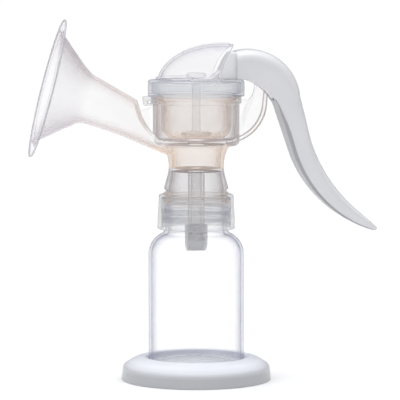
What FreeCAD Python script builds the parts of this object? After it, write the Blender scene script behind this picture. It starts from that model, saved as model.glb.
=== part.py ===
"""Manual breast pump: lever handle, diaphragm cup, slanted breast shield, milk bottle and stand.

Millimetres, +Z up, standing on Z = 0. +X runs from the bottle's axis towards the handle's tip and the breast
shield points to -X. The pump is symmetric about the plane Y = 0. Every sub-part is drawn about the bottle's
axis, and its Placement then puts that axis at bottle_axis_x, which centres the pump's length on the origin.
"""
import FreeCAD, Part
import Sketcher
import math
import os
import re

# Driving dimensions: alias, value, what it is. Lengths are in millimetres and angles in degrees.
# Names that end in _top, _bottom, _floor or _z are heights above the table.
DIMENSIONS = [
    ("bottle_axis_x", -4.844, "bottle's axis from the middle of the pump's length"),
    # stand
    ("stand_radius", 44.9, "foot of the stand"),
    ("stand_side_radius", 44.2, "top of the stand's side"),
    ("stand_side_top", 8.2, "where the side turns into the shoulder"),
    ("stand_shoulder", 3.4, "shoulder's rounding"),
    ("stand_lip_top", 14.0, "rim of the bottle's recess"),
    ("stand_lip_radius", 31.4, "crest of that rim"),
    ("stand_recess_radius", 29.4, "recess at its floor"),
    ("stand_floor", 9.6, "recess floor"),
    ("stand_wall", 2.0, "stand's wall"),
    # bottle
    ("bottle_bottom", 9.7, "underside of the bottle's foot ring"),
    ("bottle_radius", 28.8, "bottle's body"),
    ("bottle_wall", 1.6, "bottle's wall"),
    ("bottle_heel", 3.4, "rounding of the heel"),
    ("bottle_foot", 21.5, "inner edge of the foot ring"),
    ("bottle_push_up", 2.2, "rise of the bottom's middle"),
    ("bottle_shoulder_bottom", 76.5, "top of the straight wall"),
    ("bottle_shoulder_top", 89.0, "foot of the neck"),
    ("bottle_shoulder_bend", 14.2, "radius of the shoulder's arc"),
    ("bottle_neck_radius", 18.7, "neck outside, under the thread"),
    ("bottle_rim_top", 106.5, "bottle's rim"),
    ("thread_radius", 20.4, "crest of the neck's thread"),
    ("thread_pitch", 4.6, "thread's rise for each turn"),
    ("thread_height", 7.6, "height that the thread climbs"),
    ("thread_bottom", 94.0, "start of the thread"),
    # collar
    ("collar_bottom", 91.0, "collar's lower edge"),
    ("collar_top", 111.5, "collar's upper face"),
    ("collar_bottom_radius", 23.5, "collar outside, at the bottom"),
    ("collar_top_radius", 22.5, "collar outside, at the top"),
    ("collar_bore", 20.9, "collar's bore"),
    ("collar_lip_radius", 18.6, "hole in the collar's lip"),
    ("collar_lip", 1.8, "thickness of that lip"),
    # seal
    ("seal_top", 107.8, "seal's upper face, under the body's flange"),
    ("seal_gap", 0.05, "seal's lower face above the rim"),
    ("seal_radius", 20.1, "seal outside"),
    ("seal_hole", 16.6, "seal's hole"),
    # neck and cup of the body
    ("flange_radius", 20.3, "flange that the collar pulls down"),
    ("flange_top", 109.5, "upper face of that flange"),
    ("groove_radius", 18.2, "groove that holds the collar's lip"),
    ("keeper_bottom", 111.7, "underside of the keeper ridge over the collar"),
    ("keeper_radius", 19.8, "keeper ridge"),
    ("keeper_top", 112.2, "top of the keeper ridge"),
    ("waist_radius", 17.8, "notch between keeper and skirt"),
    ("waist_z", 113.8, "height of that notch"),
    ("skirt_radius", 19.4, "neck's skirt"),
    ("skirt_z", 115.3, "lower edge of the skirt"),
    ("neck_low_radius", 17.1, "neck where its straight flare ends"),
    ("neck_low_z", 123.5, "height of that place"),
    ("neck_arc", 24.0, "radius of the neck's hollow"),
    ("neck_top_radius", 19.8, "neck under the cup"),
    ("neck_top_z", 140.4, "height of that place"),
    ("neck_wall", 2.0, "neck's wall"),
    ("partition_top", 127.4, "partition over the spout"),
    ("partition", 2.0, "partition's thickness"),
    ("spout_radius", 5.0, "spout outside"),
    ("spout_bore", 3.2, "spout's bore"),
    ("spout_bottom", 88.0, "spout's lower end"),
    ("chamber_top", 141.4, "ceiling of the neck's chamber"),
    ("neck_zone_radius", 40.0, "reach of the zone that belongs to the neck's node"),
    ("cup_radius", 25.9, "cup outside"),
    ("cup_wall", 1.7, "cup's wall"),
    ("cup_corner", 4.6, "rounding under the cup"),
    ("cup_bottom", 141.0, "underside of the cup"),
    ("cup_floor", 144.2, "floor of the cup"),
    ("cup_inner_corner", 3.0, "rounding at the floor"),
    ("air_hole", 5.0, "air hole in the cup's floor"),
    ("band_radius", 27.0, "band round the cup's mouth"),
    ("band_bottom", 166.3, "underside of the band"),
    ("band_top", 170.5, "mouth of the cup"),
    ("seat_radius", 26.2, "seat of the diaphragm's rim"),
    ("seat_z", 169.2, "floor of that seat"),
    # tube and its end wall
    ("tube_start_x", -66.9, "tube's centre at the throat"),
    ("tube_start_z", 170.6, "same, height"),
    ("tube_slope", 25.8, "fall of the tube towards the neck"),
    ("tube_seam", 27.0, "length of the tube that belongs to the shield"),
    ("tube_length", 62.0, "whole tube from the throat into the neck"),
    ("tube_seam_radius", 11.9, "tube outside, at the seam"),
    ("tube_end_radius", 10.6, "tube outside, at the neck"),
    ("tube_wall", 1.8, "wall of the tube and of its end"),
    ("end_arc_x", -5.0, "centre of the curved end wall"),
    ("end_arc_z", 170.5, "same, height"),
    ("end_arc", 30.6, "radius of the curved end wall"),
    # breast shield
    ("rim_x", -89.7, "centre of the shield's rim"),
    ("rim_z", 175.8, "same, height"),
    ("rim_tilt", 14.65, "upward tilt of the shield's axis"),
    ("rim_radius", 42.3, "rim outside"),
    ("rim_thickness", 1.3, "thickness of the flat rim"),
    ("mouth_radius", 34.7, "cone outside, at the rim"),
    ("cone_depth", 23.5, "cone from rim to throat"),
    ("throat_radius", 14.0, "cone and tube outside, at the throat"),
    ("shield_wall", 1.8, "cone's wall"),
    # webs and pivot
    ("web", 2.0, "thickness of the webs"),
    ("rib_arc_x", 17.2, "centre of the right rib's arc"),
    ("rib_arc_z", 167.5, "same, height"),
    ("rib_arc", 25.4, "outer radius of the rib"),
    ("rib", 2.2, "rib's thickness"),
    ("rib_width", 6.4, "rib's width"),
    ("pivot_x", 39.9, "handle's pivot"),
    ("pivot_z", 182.7, "same, height"),
    ("boss_radius", 4.6, "pivot boss on the bracket"),
    ("boss_width", 6.4, "width of that boss"),
    ("trunnion_radius", 2.5, "trunnions on the boss"),
    ("trunnion_span", 14.0, "length over both trunnions"),
    ("trunnion_gap", 0.05, "running clearance round a trunnion"),
    ("lug_x", -31.8, "outer end of the lug on the band"),
    ("lug_width", 9.0, "lug's width"),
    ("lug_bottom", 165.2, "underside of the lug"),
    # diaphragm and stem
    ("diaphragm_radius", 21.0, "diaphragm's wall outside"),
    ("diaphragm_wall", 1.2, "its thickness"),
    ("diaphragm_bottom", 145.4, "its underside"),
    ("diaphragm_corner", 7.0, "its rounding"),
    ("diaphragm_flare_z", 165.0, "where the wall flares out to the rim"),
    ("foot_radius", 8.0, "disc at the stem's foot"),
    ("foot_height", 2.2, "that disc's thickness"),
    ("stem_radius", 2.6, "stem"),
    ("head_radius", 6.0, "stem's head"),
    ("head_bottom", 181.6, "underside of the head"),
    ("head_top", 184.4, "top of the head"),
    ("soft_gap", 0.1, "gap between the silicone and what it meets"),
    # cover ring and hood
    ("ring_radius", 29.0, "cover ring outside"),
    ("ring_bottom", 170.6, "its underside"),
    ("ring_top", 180.3, "its top"),
    ("ring_wall", 2.2, "its wall"),
    ("ring_corner", 2.0, "rounding of its top edge"),
    ("ring_clamp_radius", 23.0, "inner edge of the foot that clamps the diaphragm"),
    ("ring_plate", 1.5, "thickness of its top and foot"),
    ("ring_hole", 15.5, "hole in its top"),
    ("hood_bottom", 180.4, "hood's lower edge"),
    ("hood_radius", 22.8, "hood's foot"),
    ("hood_flange_radius", 24.2, "flange round the hood's foot"),
    ("hood_flange", 1.5, "thickness of that flange"),
    ("hood_wall", 1.4, "hood's wall"),
    ("hood_centre_x", 15.5, "centre of the hood's ellipsoid"),
    ("hood_centre_z", 178.0, "same, height"),
    ("hood_length", 39.0, "half axis along X"),
    ("hood_width", 24.4, "half axis along Y"),
    ("hood_height", 23.8, "half axis along Z"),
    ("hood_front_x", 51.2, "centre of the arc that the front edge follows"),
    ("hood_front_z", 173.7, "same, height"),
    ("hood_front", 40.0, "radius of that arc"),
    # handle
    ("handle_width", 26.0, "handle over the pivot"),
    ("handle_tip_width", 13.0, "handle at its tip"),
    ("handle_taper_x", 44.0, "where the width starts to taper"),
    ("handle_tip_x", 110.5, "tip of the handle"),
    ("handle_wall", 2.2, "wall of the handle's shell"),
    ("shoulder_x", 23.1, "end face of the shell, by the hood"),
    ("shoulder_top", 197.6, "top of that face"),
    ("shoulder_bottom", 180.8, "bottom of that face"),
    ("arm_bottom", 180.9, "underside of the lever's arm, over the cover ring"),
    ("arm_width", 19.0, "lever's arm"),
    ("fork_width", 13.0, "fork at the stem"),
    ("fork_slot", 6.4, "slot in the fork"),
    ("fork_tip_x", -4.0, "ends of the tines"),
    ("fork_root_x", 7.6, "where the tines leave the arm"),
    ("fork_top", 181.3, "upper face of the tines"),
    ("fork_bottom", 178.5, "lower face of the tines"),
    ("bracket_slot", 7.4, "slot in the lever for the bracket"),
    ("slot_end_x", 47.4, "end of that slot, where the cover strip starts"),
    # duckbill valve
    ("valve_radius", 6.8, "valve's sleeve"),
    ("valve_top", 93.4, "top of the sleeve"),
    ("valve_bill_top", 84.0, "where the bill starts"),
    ("valve_bottom", 77.7, "lips of the bill"),
    ("valve_lip_length", 10.4, "lips outside, along X"),
    ("valve_lip_width", 2.4, "lips outside, along Y"),
    ("valve_wall", 1.3, "bill's wall"),
    ("valve_slit", 0.3, "opening between the lips"),
]

doc = FreeCAD.newDocument("BreastPump")
sheet = doc.addObject("Spreadsheet::Sheet", "Dims")
for row, (alias, number, note) in enumerate(DIMENSIONS, start=1):
    sheet.set("A%d" % row, note)
    sheet.set("B%d" % row, str(number))
    sheet.setAlias("B%d" % row, alias)
doc.recompute()

ALIASES = {alias for alias, number, note in DIMENSIONS}
UPRIGHT = FreeCAD.Rotation(FreeCAD.Vector(1, 0, 0), 90)
sub_parts = []


def bound(expression):
    """An expression in the sheet's aliases, as another object of the document writes it."""
    def full_name(match):
        word = match.group(0)
        return "Dims." + word if word in ALIASES else word
    return re.sub(r"[a-z_][a-z_0-9]*", full_name, str(expression))


def value(expression):
    """The number that an expression in the sheet's aliases gives now."""
    result = sheet.evalExpression(bound(expression))
    return float(getattr(result, "Value", result))


def bind(thing, **properties):
    """Binds properties to expressions; a double underscore stands for the dot in Placement.Base.x."""
    for name, expression in properties.items():
        thing.setExpression(name.replace("__", "."), bound(expression))


def arc_between(start, end, radius):
    """The shorter arc from start to end. A positive radius turns left on the way and a negative one right."""
    middle = (start + end) * 0.5
    half = (end - start).Length / 2
    along = (end - start).normalize()
    left = FreeCAD.Vector(-along.y, along.x, 0)
    side = math.copysign(math.sqrt(max(radius * radius - half * half, 0)), radius)
    centre = middle + left * side
    first, last = (start, end) if radius > 0 else (end, start)
    circle = Part.Circle(centre, FreeCAD.Vector(0, 0, 1), abs(radius))
    return Part.ArcOfCircle(circle, angle_of(first - centre), angle_of(last - centre))


def angle_of(vector):
    return math.atan2(vector.y, vector.x)


def draw(sketch, outline, closing_radius=None):
    """Draws a closed outline in a sketch and binds every corner to the sheet.

    A corner is (x, y), or (x, y, radius) where an arc of that radius leads to it. All are expressions.
    closing_radius is that of an arc back to the first corner.
    """
    if closing_radius:
        outline = [tuple(outline[0]) + (closing_radius,)] + outline[1:]
    corners = [FreeCAD.Vector(value(c[0]), value(c[1]), 0) for c in outline]
    ends = []
    for i, corner in enumerate(corners):
        following = (i + 1) % len(corners)
        step = outline[following]
        if len(step) == 3:
            radius = value(step[2])
            sketch.addGeometry(arc_between(corner, corners[following], radius), False)
            ends.append((1, 2) if radius > 0 else (2, 1))
        else:
            sketch.addGeometry(Part.LineSegment(corner, corners[following]), False)
            ends.append((1, 2))
    for i in range(len(corners)):
        following = (i + 1) % len(corners)
        meet = Sketcher.Constraint("Coincident", i, ends[i][1], following, ends[following][0])
        sketch.addConstraint(meet)
    for i, corner in enumerate(corners):
        across = Sketcher.Constraint("DistanceX", -1, 1, i, ends[i][0], corner.x)
        upward = Sketcher.Constraint("DistanceY", -1, 1, i, ends[i][0], corner.y)
        hold(sketch, across, outline[i][0])
        hold(sketch, upward, outline[i][1])
        step = outline[(i + 1) % len(corners)]
        if len(step) == 3:
            hold(sketch, Sketcher.Constraint("Radius", i, abs(value(step[2]))), "abs(%s)" % step[2])


def hold(sketch, constraint, expression):
    index = sketch.addConstraint(constraint)
    sketch.setExpression("Constraints[%d]" % index, bound(expression))


def middle_sketch(name, outline):
    """A free sketch on the plane Y = 0."""
    sketch = doc.addObject("Sketcher::SketchObject", name)
    sketch.Placement = FreeCAD.Placement(FreeCAD.Vector(), UPRIGHT)
    draw(sketch, outline)
    return sketch


def flat_sketch(name, outline):
    """A free sketch on the plane Z = 0."""
    sketch = doc.addObject("Sketcher::SketchObject", name)
    draw(sketch, outline)
    return sketch


def turned(name, outline):
    """A solid turned about the bottle's axis from an outline of (radius, height)."""
    solid = doc.addObject("Part::Revolution", name)
    solid.Source = middle_sketch(name + "_outline", outline)
    solid.Axis = FreeCAD.Vector(0, 0, 1)
    solid.Base = FreeCAD.Vector(0, 0, 0)
    solid.Angle = 360
    solid.Solid = True
    return solid


def extruded(name, sketch, direction, width):
    """A prism on a sketch, its width centred on the sketch's plane."""
    solid = doc.addObject("Part::Extrusion", name)
    solid.Base = sketch
    solid.DirMode = "Custom"
    solid.Dir = direction
    solid.Symmetric = True
    solid.Solid = True
    bind(solid, LengthFwd=width)
    return solid


def slab(name, outline, width):
    """A prism across the plane Y = 0 on an outline of (x, height)."""
    return extruded(name, middle_sketch(name + "_outline", outline), FreeCAD.Vector(0, 1, 0), width)


def cross_cylinder(name, x, z, radius, width):
    """A cylinder along Y, centred on the plane Y = 0."""
    solid = doc.addObject("Part::Cylinder", name)
    solid.Placement = FreeCAD.Placement(FreeCAD.Vector(), FreeCAD.Rotation(FreeCAD.Vector(1, 0, 0), 90))
    bind(solid, Radius=radius, Height=width)
    bind(solid, Placement__Base__x=x, Placement__Base__z=z, Placement__Base__y="(%s) / 2" % width)
    return solid


def slanted_cone(name, x, z, slope, first, second, length):
    """A cone frustum from (x, z) whose axis falls by slope degrees towards +X."""
    solid = doc.addObject("Part::Cone", name)
    solid.Placement = FreeCAD.Placement(FreeCAD.Vector(), FreeCAD.Rotation(FreeCAD.Vector(0, 1, 0), 90))
    bind(solid, Radius1=first, Radius2=second, Height=length)
    bind(solid, Placement__Base__x=x, Placement__Base__z=z, Placement__Rotation__Angle="90 + %s" % slope)
    return solid


def fused(name, *solids):
    result = doc.addObject("Part::MultiFuse", name)
    result.Shapes = list(solids)
    return result


def cut(name, base, tool):
    result = doc.addObject("Part::Cut", name)
    result.Base = base
    result.Tool = tool
    return result


def common(name, first, second):
    result = doc.addObject("Part::Common", name)
    result.Base = first
    result.Tool = second
    return result


def keep(solid, label):
    """Makes a finished solid a sub-part: its label names its file, and its Placement finds its place."""
    solid.Label = label
    bind(solid, Placement__Base__x="bottle_axis_x")
    sub_parts.append(solid)
    return solid


def body_plane(body, role):
    return next(f for f in body.Origin.OriginFeatures if f.Role == role)


def turned_body(label, outline):
    """A PartDesign body with one revolution about the bottle's axis."""
    body = doc.addObject("PartDesign::Body", label)
    sketch = body.newObject("Sketcher::SketchObject", label + "_outline")
    sketch.AttachmentSupport = [(body_plane(body, "XZ_Plane"), "")]
    sketch.MapMode = "FlatFace"
    draw(sketch, outline)
    turn = body.newObject("PartDesign::Revolution", label + "_turn")
    turn.Profile = sketch
    turn.ReferenceAxis = (sketch, ["V_Axis"])
    turn.Angle = 360
    return body


def stand_base():
    """Round stand: the bottle sits in its recess, and its hollow underside also covers the shield's rim."""
    outline = [
        ("stand_radius - stand_wall", 0),
        ("stand_radius", 0),
        ("stand_side_radius", "stand_side_top"),
        ("stand_side_radius - stand_shoulder", "stand_side_top + stand_shoulder", "stand_shoulder"),
        ("stand_lip_radius", "stand_lip_top"),
        ("stand_lip_radius - 0.7", "stand_lip_top - 0.5", 0.8),
        ("stand_recess_radius", "stand_floor"),
        (0, "stand_floor"),
        (0, "stand_floor - stand_wall"),
        ("stand_recess_radius + stand_wall", "stand_floor - stand_wall"),
        ("stand_lip_radius + 0.9", "stand_lip_top - stand_wall"),
        ("stand_side_radius - stand_shoulder", "stand_side_top + stand_shoulder - stand_wall"),
        ("stand_side_radius - stand_wall", "stand_side_top", "-1.5"),
    ]
    keep(turned_body("stand_base", outline), "stand_base")


def bottle():
    """Clear bottle: pushed-up bottom, straight wall, round shoulder and threaded neck."""
    inner_shoulder = "bottle_shoulder_bend - bottle_wall"
    dome = "(bottle_foot * bottle_foot + bottle_push_up * bottle_push_up) / (2 * bottle_push_up)"
    outline = [
        (0, "bottle_bottom + bottle_push_up"),
        ("bottle_foot", "bottle_bottom", "-(%s)" % dome),
        ("bottle_radius - bottle_heel", "bottle_bottom"),
        ("bottle_radius", "bottle_bottom + bottle_heel", "bottle_heel"),
        ("bottle_radius", "bottle_shoulder_bottom"),
        ("bottle_neck_radius + 1.6", "bottle_shoulder_top - 0.6", "bottle_shoulder_bend"),
        ("bottle_neck_radius", "bottle_shoulder_top + 1.4"),
        ("bottle_neck_radius", "bottle_rim_top"),
        ("bottle_neck_radius - bottle_wall - 0.3", "bottle_rim_top"),
        ("bottle_neck_radius - bottle_wall - 0.3", "bottle_shoulder_top + 0.6"),
        ("bottle_neck_radius - bottle_wall + 0.5", "bottle_shoulder_top - 1.2"),
        ("bottle_radius - bottle_wall", "bottle_shoulder_bottom - 0.4", "-(%s)" % inner_shoulder),
        ("bottle_radius - bottle_wall", "bottle_bottom + bottle_heel"),
        ("bottle_radius - bottle_heel", "bottle_bottom + bottle_wall", "-(bottle_heel - bottle_wall)"),
        ("bottle_foot", "bottle_bottom + bottle_wall"),
        (0, "bottle_bottom + bottle_push_up + bottle_wall", dome),
    ]
    body = turned_body("bottle", outline)
    profile = body.newObject("Sketcher::SketchObject", "bottle_thread_profile")
    profile.AttachmentSupport = [(body_plane(body, "XZ_Plane"), "")]
    profile.MapMode = "FlatFace"
    draw(profile, [
        ("bottle_neck_radius - 0.4", "thread_bottom"),
        ("thread_radius", "thread_bottom + 0.9"),
        ("thread_radius", "thread_bottom + 1.4"),
        ("bottle_neck_radius - 0.4", "thread_bottom + 2.3"),
    ])
    doc.recompute()
    thread = body.newObject("PartDesign::AdditiveHelix", "bottle_thread")
    thread.Profile = profile
    thread.ReferenceAxis = (profile, ["V_Axis"])
    thread.Mode = "pitch-height-angle"
    bind(thread, Pitch="thread_pitch", Height="thread_height")
    body.Tip = thread
    keep(body, "bottle")


def screw_collar():
    """Captive collar: its lip pulls the body's flange down on the bottle's rim."""
    outline = [
        ("collar_bore", "collar_bottom"),
        ("collar_bottom_radius", "collar_bottom"),
        ("collar_top_radius", "collar_top"),
        ("collar_lip_radius", "collar_top"),
        ("collar_lip_radius", "collar_top - collar_lip"),
        ("collar_bore", "collar_top - collar_lip"),
    ]
    keep(turned_body("screw_collar", outline), "screw_collar")


def neck_seal():
    """Silicone washer between the bottle's rim and the body's flange."""
    outline = [
        ("seal_hole", "bottle_rim_top + seal_gap"),
        ("seal_radius", "bottle_rim_top + seal_gap"),
        ("seal_radius", "seal_top"),
        ("seal_hole", "seal_top"),
    ]
    keep(turned_body("neck_seal", outline), "neck_seal")


def hull_outline():
    """Neck and cup as if they were solid, with the spout under them."""
    return [
        (0, "spout_bottom"),
        ("spout_radius", "spout_bottom"),
        ("spout_radius", "seal_top"),
        ("flange_radius", "seal_top"),
        ("flange_radius", "flange_top"),
        ("groove_radius", "flange_top"),
        ("groove_radius", "keeper_bottom"),
        ("keeper_radius", "keeper_bottom"),
        ("keeper_radius", "keeper_top"),
        ("waist_radius", "waist_z"),
        ("skirt_radius", "skirt_z"),
        ("neck_low_radius", "neck_low_z"),
        ("neck_top_radius", "neck_top_z", "-neck_arc"),
        ("cup_radius - cup_corner", "cup_bottom"),
        ("cup_radius", "cup_bottom + cup_corner", "cup_corner"),
        ("cup_radius", "band_bottom"),
        ("band_radius", "band_bottom"),
        ("band_radius", "band_top"),
        (0, "band_top"),
    ]


def cavity_outlines():
    """The hollows of neck and cup: cup, chamber over the partition, and skirt round the spout."""
    cup = [
        (0, "cup_floor"),
        ("cup_radius - cup_wall - cup_inner_corner", "cup_floor"),
        ("cup_radius - cup_wall", "cup_floor + cup_inner_corner", "cup_inner_corner"),
        ("cup_radius - cup_wall", "seat_z"),
        ("seat_radius", "seat_z"),
        ("seat_radius", "band_top + 1"),
        (0, "band_top + 1"),
    ]
    chamber = [
        (0, "partition_top"),
        ("neck_low_radius - neck_wall - 0.5", "partition_top"),
        ("neck_top_radius - neck_wall - 0.6", "chamber_top", "-neck_arc - neck_wall"),
        (0, "chamber_top"),
    ]
    skirt = [
        ("spout_radius", "seal_top - 1"),
        ("seal_hole", "seal_top - 1"),
        ("seal_hole", "skirt_z"),
        ("neck_low_radius - neck_wall", "neck_low_z"),
        ("neck_low_radius - neck_wall", "partition_top - partition"),
        ("spout_radius", "partition_top - partition"),
    ]
    return {"cup": cup, "chamber": chamber, "skirt": skirt}


def tube_place(distance):
    """Where the tube's axis is at a distance from the throat, as expressions for x and z."""
    x = "tube_start_x + (%s) * cos(tube_slope * 1 deg)" % distance
    z = "tube_start_z - (%s) * sin(tube_slope * 1 deg)" % distance
    return x, z


def tube_end(name, wall, arc):
    """The tube from the seam into the neck, less what the curved end wall takes away."""
    x, z = tube_place("tube_seam")
    cone = slanted_cone(name + "_cone", x, z, "tube_slope", "tube_seam_radius - %s" % wall,
                        "tube_end_radius - %s" % wall, "tube_length - tube_seam")
    bowl = cross_cylinder(name + "_bowl", "end_arc_x", "end_arc_z", arc, 60)
    return cut(name, cone, bowl)


def pivot_bracket():
    """Web and rib on the handle's side, up to the boss and its trunnions."""
    web_outline = [
        ("cup_radius - 1", "cup_bottom + 1"),
        ("rib_arc_x", "rib_arc_z - rib_arc"),
        ("rib_arc_x + rib_arc", "rib_arc_z", "rib_arc"),
        ("pivot_x + boss_radius - 0.6", "pivot_z - 2"),
        ("pivot_x", "pivot_z"),
        ("pivot_x - boss_radius + 0.4", "pivot_z - 2"),
        ("pivot_x - 5.3", "rib_arc_z + 5.5"),
        ("pivot_x - 8.2", "rib_arc_z + 0.8", "-8"),
        ("cup_radius - 1", "rib_arc_z + 0.3"),
    ]
    rib_outline = [
        ("rib_arc_x + 1", "rib_arc_z - rib_arc"),
        ("rib_arc_x + rib_arc", "rib_arc_z", "rib_arc"),
        ("pivot_x + boss_radius - 0.6", "pivot_z - 2"),
        ("pivot_x + boss_radius - 0.6 - rib", "pivot_z - 2"),
        ("rib_arc_x + rib_arc - rib", "rib_arc_z"),
        ("rib_arc_x + 1", "rib_arc_z - rib_arc + rib", "rib - rib_arc"),
    ]
    return [
        slab("right_web", web_outline, "web"),
        slab("rib", rib_outline, "rib_width"),
        cross_cylinder("boss", "pivot_x", "pivot_z", "boss_radius", "boss_width"),
        cross_cylinder("trunnions", "pivot_x", "pivot_z", "trunnion_radius", "trunnion_span"),
    ]


def left_web_and_lug():
    """Web between the tube's end wall and the cup, and the slotted lug on the band."""
    web_outline = [
        ("end_arc_x - end_arc + 1", "end_arc_z - 9"),
        ("end_arc_x - end_arc + 1", "end_arc_z - 14"),
        ("end_arc_x - 23", "end_arc_z - 21.5", "end_arc"),
        ("end_arc_x - 14", "end_arc_z - 28", "end_arc"),
        ("1 - cup_radius", "end_arc_z - 5.6"),
    ]
    lug_outline = [
        ("lug_x", "lug_bottom"),
        ("1 - cup_radius", "lug_bottom"),
        ("1 - cup_radius", "band_top"),
        ("lug_x", "band_top"),
    ]
    slot_outline = [
        ("lug_x + 2.6", "lug_bottom + 1.0"),
        ("-band_radius - 0.2", "lug_bottom + 1.0"),
        ("-band_radius - 0.2", "lug_bottom + 2.8"),
        ("lug_x + 2.6", "lug_bottom + 2.8"),
    ]
    lug = cut("lug", slab("lug_block", lug_outline, "lug_width"), slab("lug_slot", slot_outline, 20))
    return [slab("left_web", web_outline, "web"), lug]


def pump_cup_and_neck():
    """Cup with webs, lug and pivot bracket, and under it the neck with the spout and the tube's end.

    They are one moulding, parted along the ceiling of the neck's chamber.
    """
    cavities = [turned(name + "_cavity", outline) for name, outline in cavity_outlines().items()]
    for name, radius, bottom, top in [
            ("air_hole", "air_hole", "chamber_top - 1", "cup_floor + 1"),
            ("spout_hole", "spout_bore", "spout_bottom - 1", "partition_top + 1")]:
        hole = doc.addObject("Part::Cylinder", name)
        bind(hole, Radius=radius, Height="%s - (%s)" % (top, bottom), Placement__Base__z=bottom)
        cavities.append(hole)
    cavities.append(tube_end("tube_hollow", "tube_wall", "end_arc + tube_wall"))
    hollows = fused("body_cavities", *cavities)
    hull = turned("hull", hull_outline())
    low_zone = turned("neck_zone", [
        (0, "spout_bottom - 1"),
        ("neck_zone_radius", "spout_bottom - 1"),
        ("neck_zone_radius", "chamber_top"),
        (0, "chamber_top"),
    ])
    tube = tube_end("tube_outside", 0, "end_arc")
    neck = fused("neck_outside", common("low_hull", hull, low_zone), tube)
    keep(cut("neck_solid", neck, hollows), "pump_neck")
    plates = fused("plates", *pivot_bracket(), *left_web_and_lug())
    cup = cut("cup_outside", fused("cup_and_plates", cut("high_hull", hull, low_zone), plates), neck)
    keep(cut("cup_solid", cup, hollows), "pump_cup")


def breast_shield():
    """Funnel with a flat rim, and the upper stretch of the slanted tube."""
    def funnel(name, wall, extra):
        deep = slanted_cone(name + "_tube", "tube_start_x", "tube_start_z", "tube_slope",
                            "throat_radius - %s" % wall, "tube_seam_radius - %s" % wall,
                            "tube_seam + %s" % extra)
        cone = slanted_cone(name + "_cone", "rim_x", "rim_z", "rim_tilt", "mouth_radius - %s" % wall,
                            "throat_radius - %s" % wall, "cone_depth")
        throat = doc.addObject("Part::Sphere", name + "_throat")
        bind(throat, Radius="throat_radius - %s" % wall)
        bind(throat, Placement__Base__x="tube_start_x", Placement__Base__z="tube_start_z")
        return [deep, cone, throat]
    rim = slanted_cone("rim", "rim_x", "rim_z", "rim_tilt", "rim_radius", "rim_radius", "rim_thickness")
    mouth = slanted_cone("mouth", "rim_x - 2 * cos(rim_tilt * 1 deg)", "rim_z + 2 * sin(rim_tilt * 1 deg)",
                         "rim_tilt", "mouth_radius - shield_wall", "mouth_radius - shield_wall", 2.01)
    outside = fused("shield_outside", rim, *funnel("outer", 0, 0))
    inside = fused("shield_inside", mouth, *funnel("inner", "shield_wall", 1))
    keep(cut("shield_solid", outside, inside), "breast_shield")


def diaphragm():
    """Silicone cup: its rim is clamped on the body's seat and its floor carries the stem's foot."""
    inside = "diaphragm_radius - diaphragm_wall"
    floor = "diaphragm_bottom + diaphragm_wall"
    outline = [
        (0, "diaphragm_bottom"),
        ("diaphragm_radius - diaphragm_corner", "diaphragm_bottom"),
        ("diaphragm_radius", "diaphragm_bottom + diaphragm_corner", "diaphragm_corner"),
        ("diaphragm_radius", "diaphragm_flare_z"),
        ("diaphragm_radius + 2.6", "seat_z"),
        ("seat_radius - soft_gap", "seat_z"),
        ("seat_radius - soft_gap", "band_top"),
        ("diaphragm_radius + 1.6", "band_top"),
        (inside, "diaphragm_flare_z"),
        (inside, "diaphragm_bottom + diaphragm_corner"),
        ("diaphragm_radius - diaphragm_corner", floor, "diaphragm_wall - diaphragm_corner"),
        ("foot_radius + soft_gap + diaphragm_wall", floor),
        ("foot_radius + soft_gap + diaphragm_wall", floor + " + foot_height + 0.4"),
        ("foot_radius + soft_gap", floor + " + foot_height + 0.4"),
        ("foot_radius + soft_gap", floor),
        (0, floor),
    ]
    keep(turned_body("diaphragm", outline), "diaphragm")


def stem():
    """Stem with a disc foot in the diaphragm and a round head over the handle's fork."""
    foot = "diaphragm_bottom + diaphragm_wall + soft_gap"
    outline = [
        (0, foot),
        ("foot_radius", foot),
        ("foot_radius", foot + " + foot_height"),
        ("stem_radius + 2.4", foot + " + foot_height"),
        ("stem_radius", foot + " + foot_height + 2.4", -2.4),
        ("stem_radius", "head_bottom"),
        ("head_radius", "head_bottom"),
        ("head_radius", "head_top - 1"),
        ("head_radius - 1", "head_top", 1),
        (0, "head_top"),
    ]
    keep(turned_body("stem", outline), "stem")


def cover_ring():
    """Ring that clamps the diaphragm's rim; the stem and the fork work through the hole in its top."""
    outline = [
        ("ring_clamp_radius", "ring_bottom"),
        ("ring_radius", "ring_bottom"),
        ("ring_radius", "ring_top - ring_corner"),
        ("ring_radius - ring_corner", "ring_top", "ring_corner"),
        ("ring_hole", "ring_top"),
        ("ring_hole", "ring_top - ring_plate"),
        ("ring_radius - ring_wall", "ring_top - ring_plate"),
        ("ring_radius - ring_wall", "ring_bottom + ring_plate"),
        ("ring_clamp_radius", "ring_bottom + ring_plate"),
    ]
    keep(turned_body("cover_ring", outline), "cover_ring")


def hood_dome(name, inset):
    """An ellipsoid trimmed to the hood's round foot, both smaller by inset."""
    ellipsoid = doc.addObject("Part::Ellipsoid", name + "_ellipsoid")
    bind(ellipsoid, Radius1="hood_height - %s" % inset, Radius2="hood_length - %s" % inset,
         Radius3="hood_width - %s" % inset)
    bind(ellipsoid, Placement__Base__x="hood_centre_x", Placement__Base__z="hood_centre_z")
    column = doc.addObject("Part::Cylinder", name + "_column")
    bind(column, Radius="hood_radius - %s" % inset, Height=40, Placement__Base__z="hood_bottom - %s" % inset)
    return common(name, ellipsoid, column)


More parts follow.
